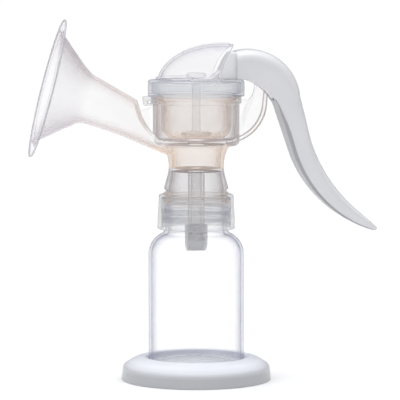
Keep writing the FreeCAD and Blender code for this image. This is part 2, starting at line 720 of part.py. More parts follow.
def cover_hood():
    """Dome over the stem's head and the handle's arm, open towards the handle, on a flanged foot."""
    flange = turned("hood_flange", [
        ("hood_radius - hood_wall", "hood_bottom"),
        ("hood_flange_radius", "hood_bottom"),
        ("hood_flange_radius", "hood_bottom + hood_flange"),
        ("hood_radius - hood_wall", "hood_bottom + hood_flange"),
    ])
    dome = cut("hood_shell", hood_dome("hood_outside", 0), hood_dome("hood_inside", "hood_wall"))
    front = cross_cylinder("hood_front", "hood_front_x", "hood_front_z", "hood_front", 80)
    keep(cut("hood_solid", fused("hood_whole", dome, flange), front), "cover_hood")


def handle_outline(inset):
    """Side view of the handle, over its back to the tip and back underneath, moved inwards by inset."""
    def corner(x, z, outward, radius=None):
        across = "%s - (%s) * cos(%s deg)" % (x, inset, outward)
        upward = "%s - (%s) * sin(%s deg)" % (z, inset, outward)
        return (across, upward) if radius is None else (across, upward, radius)
    tip = [
        ("handle_tip_x - 0.9", 91.0),
        ("handle_tip_x - 1.9", 88.7, -1.3),
    ]
    inner_tip = [("handle_tip_x - 9.0", 94.9), ("handle_tip_x - 10.2", 93.6)]
    return [
        ("shoulder_x + %s" % inset, "shoulder_top - %s" % inset),
        corner(62.3, 170.6, 14, "%s - 31.4" % inset),
        corner(69.4, 142.4, 15),
        corner(98.0, 101.0, 45, "94 + %s" % inset),
        *(inner_tip if inset else tip),
        corner(56.9, 137.7, 198, "%s - 74" % inset),
        corner(49.2, 161.0, 199),
        corner(24.6, "shoulder_bottom", 270, "27 + %s" % inset),
        ("shoulder_x + %s" % inset, "shoulder_bottom + %s" % inset),
    ]


def plan_outline():
    """Plan view of the handle: straight over the pivot, then tapering to the tip."""
    return [
        ("shoulder_x", "-handle_width / 2"),
        ("handle_taper_x", "-handle_width / 2"),
        ("handle_tip_x", "-handle_tip_width / 2"),
        ("handle_tip_x", "handle_tip_width / 2"),
        ("handle_taper_x", "handle_width / 2"),
        ("shoulder_x", "handle_width / 2"),
    ]


def inward(sketch, inset):
    """The outline of a sketch moved inwards."""
    shrunk = doc.addObject("Part::Offset2D", sketch.Name + "_inset")
    shrunk.Source = sketch
    shrunk.Join = 2
    bind(shrunk, Value="-(%s)" % inset)
    return shrunk


def crossed(name, side, plan):
    """What a side view and a plan view have in common when both are extruded."""
    side_slab = extruded(name + "_side_slab", side, FreeCAD.Vector(0, 1, 0), 60)
    plan_slab = extruded(name + "_plan_slab", plan, FreeCAD.Vector(0, 0, 1), 500)
    return common(name, side_slab, plan_slab)


def handle_shell_and_cover():
    """The hollow handle, parted into its shell and the cover strip on the hand's side."""
    side = middle_sketch("handle_side", handle_outline(0))
    hollow_side = middle_sketch("handle_hollow_side", handle_outline("handle_wall"))
    plan = flat_sketch("handle_plan", plan_outline())
    outside = crossed("handle_outside", side, plan)
    inside = crossed("handle_inside", hollow_side, inward(plan, "handle_wall"))
    hollow = cut("handle_hollow", outside, inside)
    inner_width = "handle_width - 2 * handle_wall"
    strip_side = middle_sketch("strip_side", [
        ("slot_end_x - 1.5", 158.0),
        ("slot_end_x - 1.5", 172.0),
        (54.0, 166.0),
        (60.9, 139.0),
        (81.0, 107.0, 74),
        (101.0, 93.6, 60),
        (104.0, 86.0),
        (80.0, 86.0),
    ])
    strip_zone = crossed("strip_zone", strip_side, inward(flat_sketch("strip_plan", plan_outline()),
                                                          "handle_wall"))
    strip = common("cover_strip", hollow, strip_zone)
    throat = slab("underside_opening", [
        ("shoulder_x - 1", "shoulder_bottom - 3"),
        ("slot_end_x - 1.5", 160.0),
        ("slot_end_x - 1.5", "pivot_z"),
        ("shoulder_x + 6", "shoulder_top - 6"),
        ("shoulder_x - 1", "shoulder_top - handle_wall"),
    ], inner_width)
    return cut("shell_solid", hollow, fused("shell_openings", strip_zone, throat)), strip


def lever_arm():
    """Arm from the fork under the stem's head to the cheeks round the pivot."""
    arm = slab("arm", [
        ("fork_root_x", "arm_bottom"),
        (24.6, "arm_bottom"),
        ("slot_end_x + 0.6", 165.8, -27),
        (52.0, 172.0),
        (48.0, 187.0),
        (38.0, 192.5),
        ("shoulder_x + 3", "shoulder_top - 3.2"),
        ("shoulder_x - 0.6", "shoulder_top - 1.8"),
        (18.3, 191.6),
        (14.0, 190.2),
        ("fork_root_x", 188.0),
    ], "arm_width")
    tines = slab("tines", [
        ("fork_tip_x", "fork_bottom"),
        ("fork_root_x + 4", "fork_bottom"),
        ("fork_root_x + 4", "arm_bottom + 4"),
        ("fork_root_x", "arm_bottom + 4"),
        ("fork_root_x", "fork_top"),
        (0.6, "fork_top"),
        ("fork_tip_x", "fork_top - 1.3"),
    ], "fork_width")
    fork_slot = slab("fork_gap", [
        ("fork_tip_x - 1", "fork_bottom - 1"),
        ("stem_radius + 1.2", "fork_bottom - 1"),
        ("stem_radius + 1.2", "fork_top + 1"),
        ("fork_tip_x - 1", "fork_top + 1"),
    ], "fork_slot")
    bracket_gap = slab("bracket_gap", [
        ("pivot_x - 13", "pivot_z - 6"),
        ("pivot_x - 4", 158.0),
        ("slot_end_x", 158.0),
        ("slot_end_x", "pivot_z - 8"),
        ("pivot_x + 5.4", "pivot_z + 5.4"),
        ("pivot_x - 6", "pivot_z + 5.4"),
        ("pivot_x - 13", "pivot_z + 1"),
    ], "bracket_slot")
    bores = cross_cylinder("pivot_bores", "pivot_x", "pivot_z", "trunnion_radius + trunnion_gap",
                           "trunnion_span + 0.6")
    return fused("arm_solid", arm, tines), fused("arm_gaps", fork_slot, bracket_gap, bores)


def handle():
    """Shell, and the lever inside it: fork, arm, pivot cheeks and cover strip in one moulding."""
    shell, strip = handle_shell_and_cover()
    arm, gaps = lever_arm()
    keep(cut("handle_shell_solid", shell, arm), "handle_shell")
    keep(cut("lever_solid", fused("lever_whole", arm, strip), gaps), "handle_lever")


def duckbill_valve():
    """Silicone valve: a sleeve pushed on the spout, over a flat bill whose lips meet along X."""
    body = turned_body("duckbill_valve", [
        ("spout_radius", "valve_bill_top"),
        ("valve_radius", "valve_bill_top"),
        ("valve_radius", "valve_top"),
        ("spout_radius", "valve_top"),
    ])
    outer_lips = ("valve_lip_length", "valve_lip_width")
    inner_lips = ("valve_lip_length - 2 * valve_wall", "valve_slit")
    bill(body, "bill", "PartDesign::AdditiveLoft", "valve_radius", outer_lips)
    bill(body, "throat", "PartDesign::SubtractiveLoft", "valve_radius - valve_wall", inner_lips)
    keep(body, "duckbill_valve")


def bill(body, name, kind, radius, lips):
    """A loft from the sleeve's circle down to the lips."""
    length, width = lips
    top = body.newObject("Sketcher::SketchObject", name + "_top")
    top.addGeometry(Part.Circle(FreeCAD.Vector(), FreeCAD.Vector(0, 0, 1), value(radius)), False)
    top.addConstraint(Sketcher.Constraint("Coincident", 0, 3, -1, 1))
    hold(top, Sketcher.Constraint("Radius", 0, value(radius)), radius)
    bottom = body.newObject("Sketcher::SketchObject", name + "_lips")
    end = "(%s) / 2 - (%s) / 2" % (length, width)
    half = "(%s) / 2" % width
    bow = "(%s) * 0.55" % width
    draw(bottom, [
        ("-(%s)" % end, "-(%s)" % half),
        (end, "-(%s)" % half),
        (end, half, bow),
        ("-(%s)" % end, half),
    ], closing_radius=bow)
    for sketch, height in [(top, "valve_bill_top"), (bottom, "valve_bottom")]:
        sketch.AttachmentSupport = [(body_plane(body, "XY_Plane"), "")]
        sketch.MapMode = "FlatFace"
        bind(sketch, AttachmentOffset__Base__z=height)
    doc.recompute()
    loft = body.newObject(kind, name)
    loft.Profile = top
    loft.Sections = [bottom]
    body.Tip = loft


def main():
    stand_base()
    bottle()
    screw_collar()
    neck_seal()
    pump_cup_and_neck()
    breast_shield()
    duckbill_valve()
    diaphragm()
    stem()
    cover_ring()
    cover_hood()
    handle()
    doc.recompute()
    for thing in doc.Objects:
        if "Invalid" in thing.State or "Error" in thing.State:
            raise RuntimeError("%s did not compute: %s" % (thing.Name, thing.State))
    for piece in sub_parts:
        if piece.Shape.isNull() or not piece.Shape.isValid():
            raise RuntimeError("%s is not a valid shape" % piece.Label)
    os.makedirs("parts", exist_ok=True)
    for piece in sub_parts:
        piece.Shape.exportStep("parts/%s.step" % piece.Label)


main()
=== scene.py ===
"""Manual breast pump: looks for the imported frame."""
import math

import bmesh
import bpy
from mathutils import Matrix, Vector


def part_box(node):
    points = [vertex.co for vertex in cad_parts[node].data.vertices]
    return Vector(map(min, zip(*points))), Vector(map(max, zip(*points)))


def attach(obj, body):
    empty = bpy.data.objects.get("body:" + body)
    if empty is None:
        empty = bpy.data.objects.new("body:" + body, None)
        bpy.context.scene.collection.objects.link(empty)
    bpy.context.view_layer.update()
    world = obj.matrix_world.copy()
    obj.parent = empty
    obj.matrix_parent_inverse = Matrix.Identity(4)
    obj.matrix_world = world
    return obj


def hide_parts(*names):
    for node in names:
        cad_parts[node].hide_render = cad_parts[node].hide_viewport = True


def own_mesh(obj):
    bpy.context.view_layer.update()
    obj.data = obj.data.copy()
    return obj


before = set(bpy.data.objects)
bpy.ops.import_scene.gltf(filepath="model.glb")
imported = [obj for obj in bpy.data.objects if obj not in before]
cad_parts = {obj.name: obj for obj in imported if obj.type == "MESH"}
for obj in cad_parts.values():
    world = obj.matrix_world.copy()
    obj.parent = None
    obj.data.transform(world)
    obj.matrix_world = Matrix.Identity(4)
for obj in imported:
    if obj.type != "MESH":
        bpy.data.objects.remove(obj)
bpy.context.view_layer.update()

MM = 0.001
bottle_low, bottle_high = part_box("bottle")
AXIS = (bottle_low[0] + bottle_high[0]) / 2 / MM  # X of the bottle's axis, about which all is drawn
TURNS = 144  # sides of a turned piece
WELD, STEP_WELD = 1e-5, 2e-4  # points nearer than this become one: a drawn mesh's, a boolean's


# ---------------------------------------------------------------- outlines, in mm

def rounded(points, steps=5):
    """A closed outline whose corners (across, up, radius) become arcs."""
    out = []
    for i, point in enumerate(points):
        here = Vector(point[:2])
        radius = point[2] if len(point) > 2 else 0
        if not radius:
            out.append(tuple(here))
            continue
        before = Vector(points[i - 1][:2]) - here
        after = Vector(points[(i + 1) % len(points)][:2]) - here
        half = before.angle(after) / 2
        back = min(radius / math.tan(half), 0.49 * before.length, 0.49 * after.length)
        radius = back * math.tan(half)
        u, v = before.normalized(), after.normalized()
        centre = here + (u + v).normalized() * (radius / math.sin(half))
        start, end = here + u * back - centre, here + v * back - centre
        turn = start.angle_signed(end)
        for k in range(steps + 1):
            out.append(tuple(centre + Matrix.Rotation(-turn * k / steps, 2) @ start))
    return out


def bow(start, end, radius, steps=12):
    """Points after start, up to end, of an arc; a positive radius turns left."""
    a, b = Vector(start), Vector(end)
    chord = b - a
    r = abs(radius)
    side = Vector((-chord.y, chord.x)).normalized() * (1 if radius > 0 else -1)
    centre = (a + b) / 2 + side * math.sqrt(max(r * r - chord.length_squared / 4, 0))
    turn = (a - centre).angle_signed(b - centre)
    return [tuple(centre + Matrix.Rotation(-turn * k / steps, 2) @ (a - centre))
            for k in range(1, steps + 1)]


def along(points, share):
    """The point at that share of an open outline's length, and the direction there."""
    spans = [(Vector(q) - Vector(p)).length for p, q in zip(points, points[1:])]
    left = share * sum(spans)
    for i, span in enumerate(spans):
        if left <= span or i == len(spans) - 1:
            p, q = Vector(points[i]), Vector(points[i + 1])
            return p.lerp(q, left / span), (q - p).normalized()
        left -= span


# ---------------------------------------------------------------- meshes

def mesh_of(name, verts, faces):
    """A mesh with its shared points merged and its faces turned outwards."""
    mesh = bpy.data.meshes.new(name)
    mesh.from_pydata([tuple(v) for v in verts], [], faces)
    shape = bmesh.new()
    shape.from_mesh(mesh)
    bmesh.ops.remove_doubles(shape, verts=shape.verts, dist=WELD)
    bmesh.ops.recalc_face_normals(shape, faces=shape.faces)
    shape.to_mesh(mesh)
    shape.free()
    return mesh


def thing(name, mesh):
    """A new object in the scene."""
    obj = bpy.data.objects.new(name, mesh)
    bpy.context.scene.collection.objects.link(obj)
    return obj


def turned(name, outline, turns=TURNS):
    """An outline (radius, z) turned about the bottle's axis."""
    verts, faces, rings = [], [], []
    for r, z in outline:
        if r < 1e-6:
            rings.append([len(verts)])
            verts.append((0, 0, z))
            continue
        rings.append(range(len(verts), len(verts) + turns))
        for k in range(turns):
            a = 2 * math.pi * k / turns
            verts.append((r * math.cos(a), r * math.sin(a), z))
    for a, b in zip(rings, rings[1:] + rings[:1]):
        if len(a) == 1 and len(b) == 1:
            continue
        for k in range(turns):
            n = (k + 1) % turns
            if len(a) == 1:
                faces.append((a[0], b[k], b[n]))
            elif len(b) == 1:
                faces.append((a[k], a[n], b[0]))
            else:
                faces.append((a[k], a[n], b[n], b[k]))
    return mesh_of(name, verts, faces)


def lofted(name, rings, capped=True):
    """Closed rings with the same number of points, joined in order; the ends are capped."""
    count = len(rings[0])
    verts = [p for ring in rings for p in ring]
    faces = []
    for i in range(len(rings) - 1):
        for k in range(count):
            n = (k + 1) % count
            here, above = i * count, (i + 1) * count
            faces.append((here + k, here + n, above + n, above + k))
    if capped:
        faces.append(tuple(range(count)))
        faces.append(tuple(range((len(rings) - 1) * count, len(rings) * count)))
    return mesh_of(name, verts, faces)


def slab(name, outline, width):
    """An outline (x, z) as a plate of that width, across Y."""
    rings = [[(x, side * width / 2, z) for x, z in outline] for side in (-1, 1)]
    return lofted(name, rings)


def bevelled(mesh, width, angle=35, segments=3):
    """Rounds a mesh's edges that are sharper than the angle."""
    shape = bmesh.new()
    shape.from_mesh(mesh)
    edges = [e for e in shape.edges
             if e.is_manifold and e.calc_face_angle(0) > math.radians(angle)]
    bmesh.ops.bevel(shape, geom=edges, offset=width, segments=segments, profile=0.5,
                    affect="EDGES", clamp_overlap=True)
    shape.to_mesh(mesh)
    shape.free()
    return mesh


def combined(name, base, *steps):
    """base after each (operation, mesh) step, by exact booleans."""
    obj = thing(name, base)
    for operation, mesh in steps:
        other = thing(name + "_tool", mesh)
        modifier = obj.modifiers.new("step", "BOOLEAN")
        modifier.operation, modifier.solver, modifier.object = operation, "EXACT", other
        bpy.context.view_layer.update()
        result = bpy.data.meshes.new_from_object(
            obj.evaluated_get(bpy.context.evaluated_depsgraph_get()))
        obj.modifiers.clear()
        shape = bmesh.new()
        shape.from_mesh(result)
        bmesh.ops.remove_doubles(shape, verts=shape.verts, dist=STEP_WELD)
        bmesh.ops.dissolve_degenerate(shape, edges=shape.edges, dist=STEP_WELD)
        shape.to_mesh(result)
        shape.free()
        obj.data = result
        bpy.data.objects.remove(other)
    mesh = obj.data
    bpy.data.objects.remove(obj)
    return mesh


def joined(name, *meshes):
    """Several meshes as one, without merging them."""
    shape = bmesh.new()
    for mesh in meshes:
        shape.from_mesh(mesh)
    mesh = bpy.data.meshes.new(name)
    shape.to_mesh(mesh)
    shape.free()
    return mesh


def piece(name, mesh, material, body, slot, *nodes, sharp=32):
    """Puts a mesh drawn in mm about the bottle's axis in place, as a piece of the object."""
    mesh.transform(Matrix.Translation((AXIS * MM, 0, 0)) @ Matrix.Scale(MM, 4))
    mesh.materials.clear()
    mesh.materials.append(material)
    mesh.polygons.foreach_set("use_smooth", [True] * len(mesh.polygons))
    mesh.polygons.foreach_set("material_index", [0] * len(mesh.polygons))
    mesh.set_sharp_from_angle(angle=math.radians(sharp))
    mesh.name = name
    obj = thing(name, mesh)
    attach(obj, body)
    if nodes:
        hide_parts(*nodes)
    return obj


# ---------------------------------------------------------------- materials

def tone(red, green, blue):
    """A screen colour, 0 to 255, as linear light."""
    def linear(c):
        c /= 255
        return c / 12.92 if c < 0.04045 else ((c + 0.055) / 1.055) ** 2.4
    return (linear(red), linear(green), linear(blue), 1)


class Nodes:
    """A short way to write the node tree of a material or a world."""

    def __init__(self, owner):
        self.owner = owner
        owner.use_nodes = True
        self.tree = owner.node_tree
        self.tree.nodes.clear()
        self.coordinates = self.add("ShaderNodeTexCoord").outputs

    def add(self, kind, sockets=(), **settings):
        """A new node; sockets says what each input takes, a value or another node's output."""
        node = self.tree.nodes.new(kind)
        for key, value in settings.items():
            setattr(node, key, value)
        for key, value in dict(sockets).items():
            if isinstance(value, bpy.types.NodeSocket):
                self.tree.links.new(value, node.inputs[key])
            else:
                node.inputs[key].default_value = value
        return node

    def parts(self, system="Object"):
        """The X, Y and Z outputs of the place in that system of coordinates."""
        return self.add("ShaderNodeSeparateXYZ", {"Vector": self.coordinates[system]}).outputs

    def noise(self, scale, detail=3.0, roughness=0.5, stretch=None):
        """Noise in 0..1; scale is in features per metre."""
        where = self.coordinates["Object"]
        if stretch:
            where = self.add("ShaderNodeMapping", {"Vector": where, "Scale": stretch}).outputs[0]
        return self.add("ShaderNodeTexNoise", {"Vector": where, "Scale": scale, "Detail": detail,
                                               "Roughness": roughness}).outputs["Fac"]

    def spread(self, value, low, high, start=0.3, end=0.7):
        """value from start..end taken to low..high."""
        return self.add("ShaderNodeMapRange", {"Value": value, "From Min": start, "From Max": end,
                                               "To Min": low, "To Max": high}).outputs[0]

    def mixed(self, factor, a, b):
        """Colour a at factor 0, b at factor 1."""
        return self.add("ShaderNodeMix", {0: factor, 6: a, 7: b}, data_type="RGBA").outputs[2]

    def maths(self, operation, a, b=0.0, clamp=False):
        """One step of arithmetic, held to 0..1 where clamp is set."""
        return self.add("ShaderNodeMath", {0: a, 1: b}, operation=operation,
                        use_clamp=clamp).outputs[0]

    def finish(self, shader, output="ShaderNodeOutputMaterial"):
        """Sends the shader to the output; returns the material or world."""
        self.add(output, {"Surface": shader})
        return self.owner


ZONE_REACH = 28.5  # how far from the bottle's axis a zone goes, in mm
ZONE_BLUR = 0.6  # half the height over which a zone starts and stops, in mm


def plastic(name, colour, shade, roughness, ior=1.49, coat=0.0, grain=0.000006, grain_scale=700,
            face=None, edge=1.0, density=3.0, zones=(), upper=None, sweep=None):
    """Moulded plastic: slow flow-like colour changes, fine grain, faint handling marks.

    With face set, it lets light straight through: face is its cover seen square on, edge its
    cover seen along the wall, density how late that rises. Each zone is (z low, z high, tint,
    share, added cover), in mm, and lies within ZONE_REACH of the bottle's axis. upper is the
    (z low, z high, colour) of a slow change with height, which is painted light that makes the
    top lighter than the sides; sweep is the (x low, x high, added cover, tint, share) of a slow
    change along the object, x from the bottle's axis.
    """
    n = Nodes(bpy.data.materials.new(name))
    flow = n.spread(n.noise(28, 2.0, stretch=(1, 1, 2.2)), 0, 1)
    base = n.mixed(flow, colour, shade)
    # Painted light: a colour blended in with height, lighter towards the top.
    if upper:
        low, high, painted_top_colour = upper
        base = n.mixed(n.spread(n.parts()["Z"], 0, 1, low * MM, high * MM), base, painted_top_colour)
    cover = None
    if face is not None:
        facing = n.add("ShaderNodeLayerWeight", {"Blend": 0.5}).outputs["Facing"]
        cover = n.spread(n.maths("POWER", facing, density), face, edge, 0, 1)
    if sweep:
        low, high, added, tint, share = sweep
        far = n.spread(n.parts()["X"], 0, 1, (AXIS + low) * MM, (AXIS + high) * MM)
        cover = n.maths("ADD", cover, n.maths("MULTIPLY", far, added), clamp=True)
        base = n.mixed(n.maths("MULTIPLY", far, share), base, tint)
    if zones:
        place = n.parts()
        side = n.maths("SUBTRACT", place["X"], AXIS * MM)
        across_both = n.maths("ADD", n.maths("MULTIPLY", side, side),
                              n.maths("MULTIPLY", place["Y"], place["Y"]))
        near = n.spread(n.maths("SQRT", across_both), 1, 0, (ZONE_REACH - 1) * MM, ZONE_REACH * MM)
        for low, high, tint, share, added in zones:
            rise = n.spread(place["Z"], 0, 1, (low - ZONE_BLUR) * MM, (low + ZONE_BLUR) * MM)
            fall = n.spread(place["Z"], 1, 0, (high - ZONE_BLUR) * MM, (high + ZONE_BLUR) * MM)
            inside = n.maths("MULTIPLY", n.maths("MULTIPLY", rise, fall), near)
            base = n.mixed(n.maths("MULTIPLY", inside, share), base, tint)
            cover = n.maths("ADD", cover, n.maths("MULTIPLY", inside, added), clamp=True)
    marks = n.noise(240, 6.0, 0.65)
    fine = n.add("ShaderNodeBump", {"Height": n.noise(grain_scale, 2.0), "Distance": grain,
                                    "Strength": 1.0}).outputs[0]
    sockets = {"Base Color": base, "Roughness": n.spread(marks, roughness * 0.97, roughness * 1.04),
               "IOR": ior, "Normal": fine, "Coat Weight": coat, "Coat Roughness": 0.06}
    if cover is not None:
        sockets["Alpha"] = n.maths("MULTIPLY", cover, n.spread(flow, 0.96, 1.04, 0, 1), clamp=True)
    return n.finish(n.add("ShaderNodeBsdfPrincipled", sockets).outputs[0])


CREAM, DUSK = tone(240, 214, 190), tone(168, 168, 176)
MILKY = plastic("milky_plastic", tone(205, 197, 202), tone(197, 190, 197), 0.30,
                face=0.014, edge=1.0, density=2.25,
                zones=[(127.6, 141.0, CREAM, 0.8, 0.075), (113.4, 127.2, DUSK, 0.65, 0.06),
                       (141.4, 170.6, DUSK, 0.45, -0.03)],
                sweep=(-84, -34, 0.042, CREAM, 0.4))
LIP = plastic("lip_plastic", tone(222, 219, 226), tone(214, 211, 219), 0.26,
              face=0.015, edge=0.16, density=5.0)
LIP_EDGE = plastic("lip_edge_plastic", tone(182, 180, 190), tone(172, 170, 181), 0.3,
                   face=0.6, edge=0.9, density=1.0)
GREY = plastic("collar_plastic", tone(197, 199, 202), tone(187, 189, 193), 0.34,
               face=0.18, edge=0.62, density=2.4)
RING = plastic("ring_plastic", tone(194, 198, 207), tone(184, 188, 198), 0.24,
               face=0.155, edge=0.8, density=2.2)
HOOD = plastic("hood_plastic", tone(200, 196, 208), tone(190, 187, 199), 0.2,
               face=0.05, edge=1.0, density=4.4)
# The zone on the bottle's foot, from z 7 to 14.4, turns it near-white: painted light on the foot in
# the stand's recess.
CLEAR = plastic("bottle_plastic", tone(150, 153, 182), tone(141, 144, 173), 0.06, ior=1.5,
                grain=0.000003, grain_scale=500, face=0.006, edge=1.0, density=4.0,
                zones=[(7.0, 14.4, tone(236, 237, 242), 0.9, 0.0)])
SILICONE = plastic("silicone", tone(240, 224, 211), tone(231, 216, 204), 0.55, ior=1.42,
                   grain=0.000014, face=0.13, edge=0.8, density=2.2)
VALVE = plastic("valve_silicone", tone(202, 202, 205), tone(194, 194, 198), 0.5, ior=1.42,
                grain=0.000014, face=0.42, edge=0.7, density=1.8)
# The stand's top is painted lighter than its grey sides: painted light from above.
STAND = plastic("stand_plastic", tone(192, 193, 197), tone(187, 188, 193), 0.3,
                upper=(5.5, 11.5, tone(238, 240, 248)))
HANDLE = plastic("handle_plastic", tone(224, 224, 227), tone(221, 221, 225), 0.26, coat=0.25)
# A lighter copy of the handle's plastic: painted light on the arm, against the hood's shade over
# it.
ARM_PAINTED_LIGHT = plastic("arm_plastic_painted_light", tone(246, 246, 248), tone(241, 241, 244), 0.3)
# A darker copy of the handle's plastic: painted shade on the palm-side strip, which faces away from
# the light.
LEVER_PAINTED_SHADE = plastic("lever_plastic", tone(170, 170, 175), tone(166, 166, 171), 0.34)
STEM = plastic("stem_plastic", tone(214, 214, 217), tone(206, 206, 210), 0.32,
               face=0.12, edge=0.5, density=2.0)


# ---------------------------------------------------------------- stand and bottle

stand = rounded([
    (43.4, 0, 0.4), (44.9, 0, 0.5), (44.6, 4.0), (44.2, 8.6, 3.5), (38.0, 12.6, 14),
    (32.2, 14.2, 1.6), (30.0, 13.6, 0.7), (29.5, 9.6, 0.5), (0, 9.6),
    (0, 7.8), (30.6, 7.8, 0.6), (31.6, 12.0, 1.0), (38.4, 10.6, 8), (42.6, 7.9, 2.5), (43.1, 3.6),
], 8)
piece("stand", turned("stand", stand), STAND, "stand", "stand_plastic", "stand_base")

FOOT, PUSH_UP = 21.5, 2.2  # radius and height of the bottle's domed-up bottom
foot_dome = (FOOT ** 2 + PUSH_UP ** 2) / (2 * PUSH_UP)
bottle = [(0, 11.9)] + bow((0, 11.9), (21.5, 9.7), -foot_dome, 8)
bottle += rounded([(21.6, 9.7), (28.8, 9.7, 3.4), (28.8, 40), (28.8, 76.5)], 10)[1:]
bottle += bow((28.8, 76.5), (20.3, 88.4), 14.2, 20)
bottle += rounded([(20.3, 88.4), (18.7, 90.4, 1.2), (18.7, 106.5, 0.5), (16.8, 106.5, 0.5),
                   (16.8, 89.6, 1.2), (17.6, 87.8)], 5)[1:]
bottle += bow((17.6, 87.8), (27.2, 76.1), -12.6, 20)
bottle += rounded([(27.2, 76.1), (27.2, 40), (27.2, 11.3, 1.8), (21.5, 11.3)], 8)[1:]
bottle += bow((21.5, 11.3), (0, 13.5), foot_dome, 8)


def ridge(name, root, crest, low, pitch, height, foot, top, per_turn=72):
    """A helical thread ridge of that foot and top width, tapered at both ends."""
    rings = []
    steps = int(height / pitch * per_turn)
    for i in range(steps + 1):
        a = 2 * math.pi * i / per_turn
        z = low + pitch * i / per_turn
        fade = min(1, i / 9, (steps - i) / 9)
        tip = root + (crest - root) * max(fade, 0.05)
        section = [(root, z - foot / 2), (tip, z - top / 2), (tip, z + top / 2),
                   (root, z + foot / 2)]
        rings.append([(r * math.cos(a), r * math.sin(a), height_at) for r, height_at in section])
    return lofted(name, rings)


bottle_mesh = joined("bottle", turned("bottle", bottle),
                     ridge("thread", 18.5, 20.35, 95.2, 4.6, 7.4, 2.4, 0.6))
piece("bottle_body", bottle_mesh, CLEAR, "milk_bottle", "bottle_plastic", "bottle")

# ---------------------------------------------------------------- collar

collar = rounded([
    (20.95, 91.0), (23.2, 91.0, 0.5), (23.45, 91.9), (22.95, 102.0), (22.95, 102.5),
    (22.75, 102.9), (22.55, 110.2), (22.3, 111.5, 0.6), (18.6, 111.5, 0.3), (18.6, 109.7, 0.3),
    (20.95, 109.7, 0.4),
], 4)
collar_mesh = joined("collar", turned("collar", collar),
                     ridge("inner_thread", 21.0, 20.6, 93.4, 4.6, 11.0, 2.0, 0.8))
piece("collar_ring", collar_mesh, GREY, "collar", "collar_plastic", "screw_collar")

# ---------------------------------------------------------------- pump body with its shield

CONE_SLOPE, TUBE_SLOPE = 14.65, 25.8  # degrees down from level, towards the cup
RIM = Vector((-89.7, 175.8))  # (x, z) of the rim's centre
THROAT = Vector((-66.9, 170.6))  # where the cone's axis and the tube's would meet
CONE = Vector((math.cos(math.radians(CONE_SLOPE)), -math.sin(math.radians(CONE_SLOPE))))
TUBE = Vector((math.cos(math.radians(TUBE_SLOPE)), -math.sin(math.radians(TUBE_SLOPE))))
THROAT_RADIUS, MOUTH_RADIUS, CONE_LENGTH = 14.0, 34.7, 23.5
BEND = 6  # half the length over which the axis bends
TUBE_WALL = 1.3
LIP_START, LIP_END = 34.9, 41.9  # radii between which the rim is flat


def flare(name, inset, start, end, steps=64, count=112):
    """The funnel's cone running into the slanted tube, its bend softer below than above."""
    rings = []
    for i in range(steps + 1):
        s = start + (end - start) * i / steps
        blend = min(max((s + BEND) / (2 * BEND), 0), 1)
        blend = blend * blend * (3 - 2 * blend)
        way = CONE.lerp(TUBE, blend).normalized()
        bend = (s + BEND) ** 2 / (4 * BEND) if -BEND < s < BEND else max(s, 0)
        centre = THROAT + CONE * (s - bend) + TUBE * bend
        up = Vector((-way.y, way.x))
        ring = []
        for k in range(count):
            a = 2 * math.pi * k / count
            low = 0.5 - 0.5 * math.sin(a)
            soft = 0.9 + 6.2 * low ** 1.5
            cone = THROAT_RADIUS - s * (MOUTH_RADIUS - THROAT_RADIUS) / CONE_LENGTH
            tube = THROAT_RADIUS - s * 0.0778 if s < 27 else 11.9 - (s - 27) * 0.0371
            radius = (cone + tube) / 2 + math.sqrt((cone - tube) ** 2 + soft * soft) / 2
            radius -= soft / 12 + inset
            ring.append((centre.x + up.x * radius * math.sin(a), radius * math.cos(a),
                         centre.y + up.y * radius * math.sin(a)))
        rings.append(ring)
    return lofted(name, rings)


def tilted(mesh):
    """A mesh turned about the bottle's axis from z 0 up, taken to the funnel's axis at its rim."""
    mesh.transform(Matrix.Translation((RIM.x, 0, RIM.y)) @
                   Matrix.Rotation(math.radians(90 + CONE_SLOPE), 4, "Y"))
    return mesh


hull = rounded([(0, 88.0), (5.0, 88.0, 0.5), (5.0, 107.8)], 4)
hull += rounded([(5.0, 107.8), (20.3, 107.8, 0.3), (20.3, 109.5, 0.3), (18.2, 109.5),
                 (18.2, 111.7), (19.8, 111.7, 0.2), (19.8, 112.3, 0.2), (17.9, 113.7, 0.3),
                 (19.4, 115.3, 0.4), (17.1, 123.5)], 3)[1:]
hull += bow((17.1, 123.5), (19.8, 140.4), -24, 18)
hull += rounded([(19.8, 140.4), (20.4, 141.0, 0.4), (25.9, 141.0, 4.6), (25.9, 166.0, 0.3),
                 (27.0, 166.4, 0.4), (27.0, 170.5, 0.3), (0, 170.5)], 6)[1:]
cup = rounded([(0, 144.2), (24.2, 144.2, 3.0), (24.2, 169.2), (26.2, 169.2), (26.2, 172),
               (0, 172)], 6)
chamber = [(0, 127.4), (14.6, 127.4)] + bow((14.6, 127.4), (17.2, 141.4), -26, 14) + [(0, 141.4)]
skirt = [(5.0, 106.8), (16.6, 106.8), (16.6, 115.3), (15.1, 123.5), (15.1, 125.4),
         (5.0, 125.4)]
BOWL = (-5.0, 170.5)  # (x, z) of the round that ends the tube inside the cup
BOWL_RADIUS = 30.6
PIVOT = (39.9, 182.7)  # (x, z) of the trunnions' axis


def rod(name, radius, bottom, top):
    """A cylinder on the bottle's axis."""
    return turned(name, [(0, bottom), (radius, bottom), (radius, top), (0, top)], 64)


def across(name, x, z, radius, width, count=96):
    """A cylinder across the pump."""
    outline = [(x + radius * math.cos(2 * math.pi * k / count),
                z + radius * math.sin(2 * math.pi * k / count)) for k in range(count)]
    return slab(name, outline, width)


